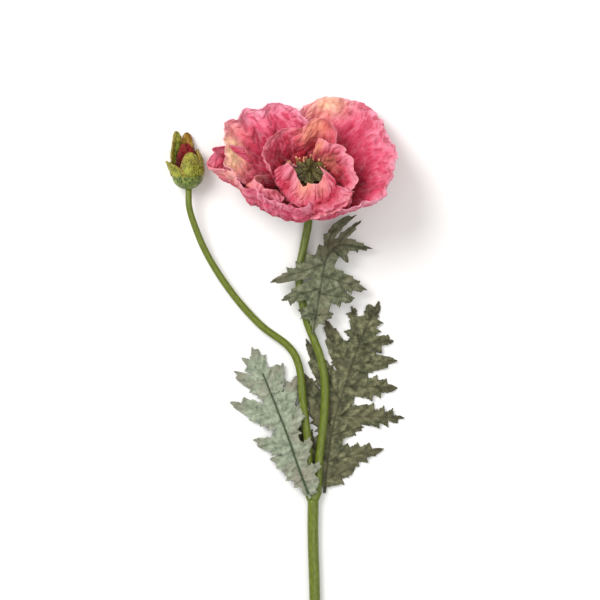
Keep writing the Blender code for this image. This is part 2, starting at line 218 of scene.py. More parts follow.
def makeCamera():
    camera = bpy.data.cameras.new("camera")
    camera.lens = view["lens"]
    camera.sensor_width = view["sensor"]
    distance = view["frameWidth"] * view["lens"] / view["sensor"]
    camera.clip_end = 20
    holder = bpy.data.objects.new("camera", camera)
    holder.location = joint + Vector((view["centreX"], view["centreY"], distance)) * mm
    bpy.context.collection.objects.link(holder)
    bpy.context.scene.camera = holder


def makeStage():
    size = 3.0
    floor = meshPiece("floor", [(-size, -size, 0), (size, -size, 0), (size, size, 0), (-size, size, 0)],
                      [(0, 1, 2, 3)])
    material, tree = startMaterial("paperSweep")   # matt white paper, no sheen of its own
    shader = addNode(tree, "ShaderNodeBsdfPrincipled", {"Base Color": srgb("#F6F5F3"), "Roughness": 0.95,
                                                        "Specular IOR Level": 0.1})
    addNode(tree, "ShaderNodeOutputMaterial", {"Surface": shader.outputs[0]})
    floor.data.materials.append(material)

    # (place in metres from the joint, size, power); every lamp aims at the same target
    lights = {"keyLight": ((-0.75, 0.75, 1.15), 0.9, 18.0), "fillLight": ((0.8, 0.0, 1.4), 1.2, 6.0),
              "topLight": ((0.0, 0.15, 2.0), 1.4, 6.0)}
    for name, (place, width, power) in lights.items():
        lamp = bpy.data.lights.new(name, "AREA")
        lamp.shape = "DISK"
        lamp.size = width
        lamp.energy = power
        holder = bpy.data.objects.new(name, lamp)
        holder.location = joint + Vector(place)
        aim = joint + Vector((0, 0.12, 0)) - holder.location
        holder.rotation_euler = aim.to_track_quat("-Z", "Y").to_euler()
        bpy.context.collection.objects.link(holder)

    world = bpy.data.worlds.new("studio")
    world.use_nodes = True
    world.node_tree.nodes["Background"].inputs["Color"].default_value = (1, 1, 1, 1)
    world.node_tree.nodes["Background"].inputs["Strength"].default_value = 0.5
    bpy.context.scene.world = world
    bpy.context.scene.view_settings.view_transform = "Standard"


def petalCloth(name, base, deep, middle, pale, peach):
    # crinkled polyester petal cloth, dyed and heat-pressed: matt, a little light comes through it;
    # painted shade darkens the creases and folds, and painted highlight pales the crests and crinkles
    material, tree = startMaterial(name)
    spots = addNode(tree, "ShaderNodeTexCoord").outputs
    reach, crease, peachAndRimHighlight = (addNode(tree, "ShaderNodeAttribute", attribute_name=key).outputs["Fac"]
                            for key in ("reach", "crease", "peach"))
    blotch = addNode(tree, "ShaderNodeTexNoise", {
        "Vector": spots["Object"], "Scale": 120.0, "Detail": 4.0, "Roughness": 0.6})   # blotches 8 mm wide
    # the tint runs from dark at the petal's base to pale at the rim: partly the petal's own colour, partly
    # painted shade deep in the cup
    outward = addNode(tree, "ShaderNodeMath", {0: reach, 1: 0.75}, operation="MULTIPLY").outputs[0]
    shifted = addNode(tree, "ShaderNodeMath", {0: blotch.outputs["Fac"], 1: 0.44, 2: outward},
                      operation="MULTIPLY_ADD").outputs[0]
    tintWithPaintedLight = addNode(tree, "ShaderNodeValToRGB", {"Fac": shifted},
                  stops=[(0.38, base), (0.57, deep), (0.76, middle), (1.0, pale)]).outputs["Color"]
    stretched = addNode(tree, "ShaderNodeMapping", {"Vector": spots["UV"],
                                                    "Scale": (8.0, 2.2, 1.0)}).outputs[0]
    fibre = addNode(tree, "ShaderNodeTexNoise", {
        "Vector": stretched, "Scale": 1.0, "Detail": 5.0,
        "Roughness": 0.7}).outputs["Fac"]   # crinkles 1.3 by 5 mm
    crooked = addNode(tree, "ShaderNodeMix", {0: 0.12, 4: stretched, 5: blotch.outputs["Color"]},
                      data_type="VECTOR").outputs[1]
    folds = addNode(tree, "ShaderNodeTexVoronoi", {"Vector": crooked, "Scale": 0.62},
                    feature="DISTANCE_TO_EDGE").outputs["Distance"]   # pressed folds 2 mm apart, 7 mm long
    grain = addNode(tree, "ShaderNodeTexNoise", {   # thread grain drawn at 1 mm so it shows
        "Vector": spots["Object"], "Scale": 1100.0, "Detail": 2.0}).outputs["Fac"]

    # painted highlight on the crease crests and fibre crinkles, painted shade in the crease valleys and along
    # the folds
    # (what is measured, from, to, most of it mixed in)
    crestHighlight, valley, light, dark = (
        addNode(tree, "ShaderNodeMapRange", {"Value": value, "From Min": low, "From Max": high,
                                             "To Max": most}).outputs[0]
        for value, low, high, most in ((crease, 0.45, 0.95, 0.6), (crease, 0.4, 0.05, 0.6),
                                       (fibre, 0.52, 0.74, 0.25), (folds, 0.14, 0.01, 0.24)))
    crestHighlight, light, blushed = (addNode(tree, "ShaderNodeMath", {0: first, 1: second},
                                     operation="MULTIPLY").outputs[0]
                             for first, second in ((crestHighlight, reach), (light, reach),
                                                   (blotch.outputs["Fac"], 1.5)))
    peachy = addNode(tree, "ShaderNodeMath", {0: blushed, 1: peachAndRimHighlight}, operation="MULTIPLY",
                     use_clamp=True).outputs[0]
    for amount, colour in ((crestHighlight, pale), (valley, deep), (light, pale), (dark, deep), (peachy, peach)):
        tintWithPaintedLight = addNode(tree, "ShaderNodeMix", {0: amount, 6: tintWithPaintedLight, 7: srgb(colour)},
                      data_type="RGBA").outputs[2]
    normal = {}
    for height, strength, distance in ((grain, 0.3, 0.0004), (fibre, 0.5, 0.0008), (folds, 0.4, 0.0012)):
        normal["Normal"] = addNode(tree, "ShaderNodeBump", {
            "Height": height, "Strength": strength, "Distance": distance, **normal}).outputs[0]
    cloth = addNode(tree, "ShaderNodeBsdfPrincipled", {
        "Base Color": tintWithPaintedLight, "Roughness": 0.78, "Sheen Weight": 0.15, "Sheen Roughness": 0.4,
        "Specular IOR Level": 0.25, **normal})
    glow = addNode(tree, "ShaderNodeBsdfTranslucent", {"Color": tintWithPaintedLight})
    both = addNode(tree, "ShaderNodeMixShader", {0: 0.2, 1: cloth.outputs[0], 2: glow.outputs[0]})
    addNode(tree, "ShaderNodeOutputMaterial", {"Surface": both.outputs[0]})
    return material


def leafCloth(name, dark, middle, pale, veinColour, tipColour, patchColour):
    # stamped polyester leaf, printed in mottled greens and flocked: dull, with pressed veins
    material, tree = startMaterial(name)
    place = addNode(tree, "ShaderNodeTexCoord").outputs["Object"]
    vein, tip, quilt = (addNode(tree, "ShaderNodeAttribute", attribute_name=key).outputs["Fac"]
                        for key in ("vein", "tip", "quilt"))
    # print about 5 mm across, hand-tinted patches of 15 mm and a flocked grain of 1 mm
    mottle, patch, grain = (
        addNode(tree, "ShaderNodeTexNoise", {"Vector": place, "Scale": scale, "Detail": detail,
                                             "Roughness": rough}).outputs["Fac"]
        for scale, detail, rough in ((210.0, 6.0, 0.72), (60.0, 3.0, 0.5), (900.0, 3.0, 0.5)))
    # raised quilting is tinted lighter and the hollows by the veins darker: painted light and shade over the
    # mottled print
    printAndPaintedRelief = addNode(tree, "ShaderNodeMath", {0: quilt, 1: 0.06, 2: mottle},
                     operation="MULTIPLY_ADD").outputs[0]
    green = addNode(tree, "ShaderNodeValToRGB", {"Fac": printAndPaintedRelief},
                    stops=[(0.33, dark), (0.5, middle), (0.7, pale)]).outputs["Color"]
    patch = addNode(tree, "ShaderNodeMapRange", {"Value": patch, "From Min": 0.5, "From Max": 0.68,
                                                 "To Max": 0.6}).outputs[0]
    brown = addNode(tree, "ShaderNodeMath", {0: tip, 1: mottle}, operation="MULTIPLY").outputs[0]
    brown, veined = (
        addNode(tree, "ShaderNodeMath", {0: value, 1: most}, operation="MULTIPLY", use_clamp=True).outputs[0]
        for value, most in ((brown, 1.1), (vein, 0.8)))
    for amount, colour in ((patch, patchColour), (brown, tipColour), (veined, veinColour)):
        green = addNode(tree, "ShaderNodeMix", {0: amount, 6: green, 7: srgb(colour)},
                        data_type="RGBA").outputs[2]
    bump = addNode(tree, "ShaderNodeBump", {"Height": grain, "Strength": 0.5, "Distance": 0.0004})
    shader = addNode(tree, "ShaderNodeBsdfPrincipled", {
        "Base Color": green, "Roughness": 0.82, "Specular IOR Level": 0.3, "Normal": bump.outputs[0]})
    addNode(tree, "ShaderNodeOutputMaterial", {"Surface": shader.outputs[0]})
    return material


def stemPlastic(name, dark, middle, pale, rough=0.36):
    # soft polyethylene moulded over wire: satin, with faint streaks along its length
    material, tree = startMaterial(name)
    along = addNode(tree, "ShaderNodeTexCoord").outputs["UV"]
    stretched = addNode(tree, "ShaderNodeMapping", {"Vector": along, "Scale": (9.0, 1.4, 1.0)}).outputs[0]
    streak = addNode(tree, "ShaderNodeTexNoise", {
        "Vector": stretched, "Scale": 1.6, "Detail": 4.0}).outputs["Fac"]
    green = addNode(tree, "ShaderNodeValToRGB", {"Fac": streak},
                    stops=[(0.3, dark), (0.5, middle), (0.72, pale)]).outputs["Color"]
    bump = addNode(tree, "ShaderNodeBump", {"Height": streak, "Strength": 0.12, "Distance": 0.0003})
    shader = addNode(tree, "ShaderNodeBsdfPrincipled", {
        "Base Color": green, "Roughness": rough, "IOR": 1.5, "Specular IOR Level": 0.4,
        "Normal": bump.outputs[0]})
    addNode(tree, "ShaderNodeOutputMaterial", {"Surface": shader.outputs[0]})
    return material


def budPlastic(name, dark, middle, pale, tipColour):
    # moulded and hand-tinted plastic: netted skin with meshes 2 mm across, browned at its edges
    material, tree = startMaterial(name)
    place = addNode(tree, "ShaderNodeTexCoord").outputs["Object"]
    tip = addNode(tree, "ShaderNodeAttribute", attribute_name="tip").outputs["Fac"]
    net = addNode(tree, "ShaderNodeTexVoronoi", {"Vector": place, "Scale": 500.0},
                  feature="DISTANCE_TO_EDGE").outputs["Distance"]
    tint = addNode(tree, "ShaderNodeTexNoise", {"Vector": place, "Scale": 260.0,
                                                "Detail": 3.0}).outputs["Fac"]
    green = addNode(tree, "ShaderNodeValToRGB", {"Fac": tint},
                    stops=[(0.34, dark), (0.5, middle), (0.66, pale)]).outputs["Color"]
    edge = addNode(tree, "ShaderNodeMapRange", {"Value": net, "From Min": 0.13, "From Max": 0.01,
                                                "To Max": 0.85}).outputs[0]
    for amount, colour in ((edge, pale), (tip, tipColour)):
        green = addNode(tree, "ShaderNodeMix", {0: amount, 6: green, 7: srgb(colour)},
                        data_type="RGBA").outputs[2]
    bump = addNode(tree, "ShaderNodeBump", {"Height": net, "Strength": 0.9, "Distance": 0.001})
    shader = addNode(tree, "ShaderNodeBsdfPrincipled", {
        "Base Color": green, "Roughness": 0.5, "Specular IOR Level": 0.35, "Normal": bump.outputs[0]})
    addNode(tree, "ShaderNodeOutputMaterial", {"Surface": shader.outputs[0]})
    return material


stems = dict(
    mainStem=dict(node="main_stem", sides=32, steps=60, radii=(3.4, 3.55), route=[(1.2, -138, 3.5),
        (1.4, -100, 3.5), (1.0, -62, 3.5), (0, -28, 3.6), (0, -2.5, 3.9)]),
    flowerStem=dict(node="flower_stem", sides=28, steps=110, radii=(2.6, 2.6), route=[(2.8, 2.5, 4.6),
        (4, 24, 5.2), (7, 50, 5.8), (7.5, 73, 6.0), (4, 91, 5.8), (-4, 112, 5.6), (-8, 130, 5.4),
        (-9, 144, 4.8), (-6, 160, 3.8), (-3, 176, 3.4)]),
    budStem=dict(node="bud_stem", sides=28, steps=120, radii=(2.75, 2.05), route=[(-2.9, 2.5, 4.6),
        (-3.2, 32, 5.0), (-6.5, 60, 5.5), (-9, 83, 5.5), (-16, 96, 5.2), (-33, 109, 5.0), (-48, 125, 5.5),
        (-61, 143, 6.5), (-71, 161, 8.0)]))

flowerPlace = dict(base=(-3.0, 196.0, 21.4), tilt=40.0)
budPlace = dict(base=(-80.0, 197.0, 11.0), lean=4.0)


def flowerMatrix():
    base = joint + Vector(flowerPlace["base"]) * mm
    return Matrix.Translation(base) @ Matrix.Rotation(math.radians(-flowerPlace["tilt"]), 4, "X")


def budMatrix():
    base = joint + Vector(budPlace["base"]) * mm
    turn = Matrix.Rotation(math.radians(budPlace["lean"]), 4, "Z") @ Matrix.Rotation(math.radians(-90), 4,
                                                                                     "X")
    return Matrix.Translation(base) @ turn


def makeStems(plastic):
    tilt = math.radians(flowerPlace["tilt"])
    lean = math.radians(budPlace["lean"])
    axes = dict(flowerStem=Vector((0, math.sin(tilt), math.cos(tilt))),
                budStem=Vector((-math.sin(lean), math.cos(lean), 0)))
    ends = dict(flowerStem=Vector(flowerPlace["base"]) - axes["flowerStem"] * 6.2,
                budStem=Vector(budPlace["base"]) - axes["budStem"] * 0.2)
    runIn = dict(flowerStem=8, budStem=14)
    for number, (name, stem) in enumerate(stems.items()):
        points = list(stem["route"])
        if name in ends:
            points += [ends[name] - axes[name] * runIn[name], ends[name]]
        route, _ = smoothRoute(points, stem["steps"])
        share = np.linspace(0, 1, len(route))
        radii = stem["radii"][0] + (stem["radii"][1] - stem["radii"][0]) * share
        piece = sweepTube(name, route, radii, stem["sides"], seed=number * 7.3, rough=0.03)
        settle(piece, stem["node"], "stem_plastic", plastic)


collar = dict(node="stem_joint", halfWidth=5.5, halfHeight=3.3, halfLength=4.6, rings=20, sides=48)


def makeCollar(plastic):
    # the moulding blends from the round main stem into two stems side by side
    points, uvs = [], []
    sides, rings = collar["sides"], collar["rings"]
    for k in range(rings + 1):
        t = k / rings
        bulge = math.sin(math.pi * t) ** 0.35 if 0 < t < 1 else 0.0
        wide = (3.5 + (collar["halfWidth"] - 3.5) * min(1, t * 1.7)) * (0.9 + 0.1 * bulge)
        tall = collar["halfHeight"] * (0.9 + 0.1 * bulge)
        if k in (0, rings):
            wide, tall = wide * 0.86, tall * 0.86
        for i in range(sides):
            turn = 2 * math.pi * i / sides
            waist = 1 - 0.16 * t * abs(math.sin(turn)) ** 6
            spot = Vector((math.cos(turn) * wide, (2 * t - 1) * collar["halfLength"],
                           math.sin(turn) * tall * waist + 4.1))
            points.append(joint + spot * mm)
            uvs.append((i / sides, t))
    faces = [face[::-1] for face in ringFaces(rings + 1, sides)]
    faces += [tuple(range(sides)), tuple(rings * sides + i for i in range(sides))[::-1]]
    piece = meshPiece("stemJoint", points, faces, uvs=uvs)
    settle(piece, collar["node"], "stem_plastic", plastic)


# a lobe is (place of its root along the midrib, place and distance of its tip, half width), in millimetres

leaves = dict(
    rightLeaf=dict(node="right_leaf", cell=0.52, strip=8.0, tooth=3.4, seed=3.1, sweepEnd=0.97,
        route=[(7.4, 1.5, 2.1), (9, 18, 2.3), (13, 45, 3.1), (20, 68, 3.3), (29, 95, 3.1), (41, 124, 1.2)],
        lobes=[(8, 19, 18, 5.5), (20, 34, 35, 7.5), (37, 48, 20, 5), (50, 63, 43, 8), (70, 80, 33, 7.5),
        (85, 98, 27, 7), (98, 110, 20, 6), (20, 40, -26, 7), (42, 71, -30, 8), (60, 91, -34, 7.5),
        (80, 106, -27, 7), (99, 120, -14, 5.5), (96, 130, 1, 8)], edgeLeft=0.8, edgeRight=0.8, shoulder=5.5,
        ribSide=-1, curl=2.6, underStems=11),
    leftLeaf=dict(node="left_leaf", cell=0.5, strip=6.5, tooth=3.0, seed=11.7, sweepEnd=0.97,
        route=[(-2, -1.5, 8.7), (-9, 17, 9.6), (-17, 40, 8.8), (-29, 70, 2.8), (-40, 97, 1.8)],
        lobes=[(14, 23, -11, 5), (22, 32, -16, 5), (34, 48, -22, 6.5), (54, 77, -27, 7.5),
        (72, 95, -17, 5.5), (84, 101, -9, 4.5), (5, 10, 10, 4.5), (12, 20, 15, 4.5), (26, 37, 14, 5.5),
        (44, 60, 18, 6), (56, 77, 20, 6.5), (72, 88, 15, 6), (82, 105, 0, 6)], edgeLeft=2.0, edgeRight=None,
        shoulder=14.0, ribSide=1, curl=2.0),
    upperLeaf=dict(node="upper_leaf", cell=0.5, strip=6.5, tooth=3.0, seed=23.9, sweepEnd=0.96,
        route=[(0, 104, 10.4), (3, 122, 12.5), (6, 140, 14.5), (9, 153, 15.5), (18, 161, 14), (37, 158, 9)],
        lobes=[(12, 15, 11, 5), (26, 27, 23, 6.5), (38, 34, 30, 6.5), (12, 14, -12, 5), (30, 18, -24, 6.5),
        (46, 28, -33, 5.5), (58, 70, 11, 3.6), (56, 60, 10, 3.2), (53, 70, -21, 2.6), (61, 73, -18, 2.0),
        (50, 84, -1, 4.6), (46, 54, -9, 4)], edgeLeft=9.4, edgeRight=10.0, shoulder=17.0, ribSide=-1,
        curl=2.2, browned=(57, 9)))


leafMake = dict(samples=160, stalk=0.9, rest=0.55, underStems=1.9, thickness=0.5, waves=16.0, crinkles=4.5,
    pressed=1.4, ribRadii=(0.62, 0.4), ribShift=1.0, ribReach=0.82, ribSides=12)


def lobeFields(s, t, lobe, tooth, seed):
    # how far inside the lobe a point is, how far along it, its veins there and its pressed relief
    root, tipAlong, tipAcross, half = lobe
    ax, ay = tipAlong - root, tipAcross
    length = math.hypot(ax, ay)
    a = ((s - root) * ax + t * ay) / length ** 2
    b = (t * ax - (s - root) * ay) / length
    inside = np.clip(a, 0, 1)
    count = max(2, round(length / 8.5))   # a big tooth every 8.5 mm
    steps = (inside + 0.07 * np.sin(9 * inside + root)) * count + np.where(b > 0, 0.15, 0.6)
    number = np.floor(steps)
    chance = 0.5 + 0.5 * np.sin(number * 12.9 + root * 3.1 + tipAcross + seed * np.sign(b))
    saw = (steps - number) ** 1.6 + 0.3 * np.mod(steps * 3, 1.0) - 0.45
    deep = tooth * min(1, half / 6) * (0.35 + chance) * np.clip(5 * (1 - inside), 0, 1)
    depth = half * (1 - inside ** 2) ** 1.1 * (1 + 0.3 * inside) + deep * saw - np.abs(b)
    depth = np.where(a < 0, half * 0.75 - np.hypot(b, a * length), depth)
    depth = np.where(a > 1, -np.hypot(b, (a - 1) * length) - 0.01, depth)
    main = np.exp(-(b / 0.5) ** 2) * ((a > -0.02) & (a < 0.97)) * (1 - 0.5 * inside)
    ladder = np.mod(a * count - np.abs(b) / 7.0, 1.0) - 0.5
    side = 0.4 * np.exp(-(ladder / 0.06) ** 2) * (a > 0.02)
    quilt = (np.clip(np.abs(b) / half * 1.6, 0, 1) - np.cos(2 * math.pi * ladder)) * 0.5 * (a > 0.02)
    return depth, inside, np.maximum(main, side), quilt


def leafFields(leaf, length):
    # over a grid of places along and across the midrib: veins, browned tips, depth inside the outline, relief
    reaches = [lobe[2] for lobe in leaf["lobes"]]
    s, t = np.meshgrid(np.arange(-1, length + 2, leaf["cell"]),
                       np.arange(min(reaches) - 3, max(reaches) + 3, leaf["cell"]), indexing="ij")
    stalk = leafMake["stalk"]
    strip = stalk + (leaf["strip"] - stalk) * np.clip((s - 3) / 14, 0, 1) * np.clip((length - s) / 30, 0, 1)
    strip = strip * np.clip((length - s) / 12, 0, 1)   # the blade ends in a point
    depth = np.where((s >= 0) & (s <= length * leaf["sweepEnd"]), strip - np.abs(t), -1.0)
    vein = np.exp(-(t / 0.6) ** 2) * (s < length * 0.96)
    tip, relief = np.zeros_like(depth), np.zeros_like(depth)
    for lobe in leaf["lobes"]:
        lobeDepth, inside, lobeVein, quilt = lobeFields(s, t, lobe, leaf["tooth"], leaf["seed"])
        onTop = lobeDepth > np.maximum(depth, 0)
        tip = np.where(onTop, np.clip((inside - 0.6) / 0.4, 0, 1), tip)
        relief = np.where(onTop, quilt, relief)
        vein = np.maximum(vein, np.where(lobeDepth > -0.4, lobeVein, 0) * 0.9)
        depth = np.maximum(depth, lobeDepth)
    if "browned" in leaf:
        place, breadth = leaf["browned"]
        tip = np.maximum(tip, np.exp(-((s - place) / breadth) ** 2) * np.exp(-((t + 3) / 6) ** 2))
    return s, t, vein, tip, depth, relief


def cutOutline(depth, fields):
    # the outline is where depth is zero: every cell of the grid is cut along it
    spots, spotOf, cutOf, faces = [], {}, {}, []

    def corner(cell):
        if cell not in spotOf:
            spotOf[cell] = len(spots)
            spots.append([field[cell] for field in fields])
        return spotOf[cell]

    def cut(first, second):
        first, second = sorted((first, second))
        if (first, second) not in cutOf:
            part = min(max(depth[first] / (depth[first] - depth[second]), 0.05), 0.95)
            cutOf[first, second] = len(spots)
            spots.append([field[first] + (field[second] - field[first]) * part for field in fields])
        return cutOf[first, second]

    positive = depth > 0
    touched = positive[:-1, :-1] | positive[1:, :-1] | positive[:-1, 1:] | positive[1:, 1:]
    for j, i in zip(*np.nonzero(touched)):
        ring = [(j, i), (j, i + 1), (j + 1, i + 1), (j + 1, i)]
        outline = []
        for first, second in zip(ring, ring[1:] + ring[:1]):
            if positive[first]:
                outline.append(corner(first))
            if positive[first] != positive[second]:
                outline.append(cut(first, second))
        if len(outline) >= 3:
            faces.append(tuple(outline))
    return np.array(spots), faces


def makeLeaf(name, topMaterial, backMaterial, ribMaterial):
    leaf, made = leaves[name], leafMake
    samples = made["samples"]
    route, length = smoothRoute(leaf["route"], samples)
    fields = leafFields(leaf, length)
    table, faces = cutOutline(fields[4], fields)
    along, out, vein, tip, depth, relief = table.T

    place = np.clip(along / length, 0, 1) * samples
    index = np.arange(samples + 1)
    spine = np.stack([np.interp(place, index, route[:, k]) for k in range(3)], axis=1)
    heading = np.gradient(route, axis=0)
    heading[:, 2] = 0
    padded = np.pad(heading, ((4, 4), (0, 0)), mode="edge")   # smoothed over nine samples
    heading = np.stack([np.convolve(padded[:, k], np.ones(9) / 9, "valid") for k in range(3)], axis=1)
    heading /= np.linalg.norm(heading, axis=1, keepdims=True)
    ahead = np.stack([np.interp(place, index, heading[:, k]) for k in range(3)], axis=1)
    right = np.stack([ahead[:, 1], -ahead[:, 0], np.zeros(len(ahead))], axis=1)
    points = spine + right * out[:, None] + ahead * (along - np.clip(along, 0, length))[:, None]
    keep = np.exp(-(out / leaf["shoulder"]) ** 2)
    for chosen, level in ((out < 0, leaf["edgeLeft"]), (out > 0, leaf["edgeRight"])):
        if level is not None:
            edge = np.minimum(level, spine[:, 2])
            points[:, 2] = np.where(chosen, edge + (spine[:, 2] - edge) * keep, points[:, 2])
    waves, crinkles = (np.array([fractal(x / wide, y / wide, seed, 2) for x, y in zip(along, out)])
                       for wide, seed in ((made["waves"], leaf["seed"]),
                                          (made["crinkles"], leaf["seed"] + 5)))
    lift = leaf["curl"] * np.clip(np.abs(out) / 12, 0, 1) * np.abs(waves) * 1.6
    lift += 0.45 * crinkles * np.clip(depth / 2, 0, 1) - 0.5
    lift += np.clip(depth / 2.5, 0, 1) * (0.4 * (1 - vein) + made["pressed"] * relief)
    points[:, 2] = np.maximum(points[:, 2] + lift, made["rest"])
    beneath = points[:, 0] < leaf.get("underStems", -1000)
    points[:, 2] = np.where(beneath, np.minimum(points[:, 2], made["underStems"]), points[:, 2])
    blade = meshPiece(name, np.array(joint) + points * mm, faces,
                      values=dict(vein=vein, tip=tip, quilt=relief))
    thicken(blade, made["thickness"], backMaterial=True)
    settle(blade, leaf["node"], "leaf_fabric", topMaterial, backMaterial)

    wide, narrow = made["ribRadii"]
    ribRoute = route[4:int(samples * made["ribReach"])].copy()
    ribRoute[:, 2] = np.maximum(ribRoute[:, 2] + leaf["ribSide"] * made["ribShift"], wide)
    rib = sweepTube(name + "Rib", ribRoute, np.linspace(wide, narrow, len(ribRoute)), made["ribSides"])
    settle(rib, leaf["node"] + "_rib", "rib_plastic", ribMaterial)


# angles are in degrees about the flower's axis, with 0 to the right and 90 at the back; a rim is a list of
# (angle, reach from the axis, height above the receptacle) and the curl is added beyond it

# a shade below 1 darkens the whole petal's tint: painted shade
petals = dict(
    outerBackRight=dict(node="outer_petal_back_right", base=-0.1, bowl=1.35, rise=1.5, curl=0.0,
        curlFrom=0.74, flutter=1.3, seed=1.3, rim=[(-66, 43, 27), (-58, 49, 28), (-45, 53, 28),
        (-32, 55.5, 28), (-15, 55, 28), (0, 55, 28), (22, 57, 27), (38, 60, 26), (54, 61.5, 26),
        (74, 59.5, 26), (88, 54, 25), (98, 46, 24)], peach=[(80, 13, 0.9, 1.0)]),
    outerBackLeft=dict(node="outer_petal_back_left", base=1.3, bowl=1.4, rise=1.5, curl=0.0, curlFrom=0.74,
        flutter=1.3, seed=4.9, rim=[(88, 36, 23), (96, 43, 25), (102, 49, 26), (114, 57, 26), (123, 57, 25),
        (131, 62, 26), (140, 61, 26), (147, 62, 27), (160, 57, 27), (172, 53, 28), (184, 52, 27),
        (197, 46, 26)], peach=[(167, 17, 0.84, 1.7)]),
    outerFrontLeft=dict(node="outer_petal_front_left", base=0.8, bowl=2.5, rise=1.75, curl=0.0,
        curlFrom=0.8, flutter=1.0, seed=8.2, flare=(-188, 13, 1.2), crumple=0.65, rim=[(-201, 44, 22),
        (-196, 55, 25.5), (-191, 62.5, 27), (-186, 61, 27), (-180, 63, 23.5), (-175, 55, 26),
        (-168, 49, 28), (-154, 47, 32), (-140, 46, 34), (-118, 44, 34), (-100, 43, 33), (-86, 38, 30)],
        paintedShade=0.86, peach=[(-166, 12, 0.9, 0.6)]),
    outerFrontRight=dict(node="outer_petal_front_right", base=0.3, bowl=2.5, rise=1.8, curl=2.0,
        curlFrom=0.8, flutter=1.2, seed=12.6, crumple=0.65, rim=[(-116, 35, 28), (-104, 37, 29),
        (-90, 38, 29), (-76, 39, 28), (-62, 40.5, 28), (-50, 39.5, 28), (-40, 35, 27)], paintedShade=0.86, peach=[]),
    innerBack=dict(node="inner_petal_back", base=3.0, bowl=2.1, rise=1.6, curl=3.0, curlFrom=0.6,
        flutter=0.5, seed=17.1, rim=[(50, 23, 27), (57, 28, 29), (66, 33, 30), (76, 34, 30), (86, 31, 30),
        (96, 27, 28), (108, 27, 28), (122, 29, 29), (140, 29, 29), (159, 27, 29), (180, 25, 28),
        (194, 22, 26)], paintedShade=0.9, peach=[(84, 17, 0.86, 1.1)]),
    innerRight=dict(node="inner_petal_right", base=3.2, bowl=2.6, rise=1.25, curl=5.0, curlFrom=0.74,
        flutter=1.2, seed=21.4, rim=[(-40, 29, 25), (-28, 31, 29), (-14, 25, 29), (0, 24, 31), (14, 19, 31),
        (28, 20, 31), (42, 15, 31), (56, 14.5, 32), (70, 14, 32), (76, 11.5, 27)],
        peach=[(66, 16, 0.86, 0.9), (36, 26, 0.62, 0.6)]),
    innerFrontRight=dict(node="inner_petal_front_right", base=3.4, bowl=2.9, rise=1.4, curl=15.0,
        curlFrom=0.56, flutter=1.5, seed=26.8, rim=[(-88, 26, 27), (-80, 29, 30), (-70, 28, 31),
        (-60, 30, 33), (-50, 26, 33), (-42, 24, 32), (-34, 19, 28)], peach=[]),
    innerLeft=dict(node="inner_petal_left", base=3.0, bowl=2.3, rise=1.6, curl=-8.0, curlFrom=0.62,
        flutter=0.8, seed=31.5, rim=[(-174, 33, 17), (-167, 42, 23), (-157, 46, 28), (-144, 43, 28),
        (-132, 40, 27), (-122, 36, 23)], peach=[(-164, 12, 0.86, 0.6)]),
    innerCup=dict(node="inner_petal_cup", base=4.4, bowl=2.5, rise=1.2, curl=-14.0, curlFrom=0.5,
        flutter=0.4, seed=37.7, rim=[(-184, 21, 24), (-176, 25, 26.5), (-164, 26, 27.5), (-150, 25, 27),
        (-136, 25, 25), (-122, 27, 23.5), (-108, 29, 22), (-98, 30, 21.5), (-90, 28.5, 22.8),
        (-80, 29.5, 23), (-68, 29, 22.2), (-56, 28, 23.5), (-46, 27, 25), (-36, 25, 26), (-27, 21, 25)],
        peach=[(-96, 22, 1.04, 1.0), (-60, 16, 1.04, 0.7)]))

petalMake = dict(columns=230, rows=145, claw=3.0, thickness=0.4, wrinkle=0.6, wrinkleWidth=2.1, rest=0.35)


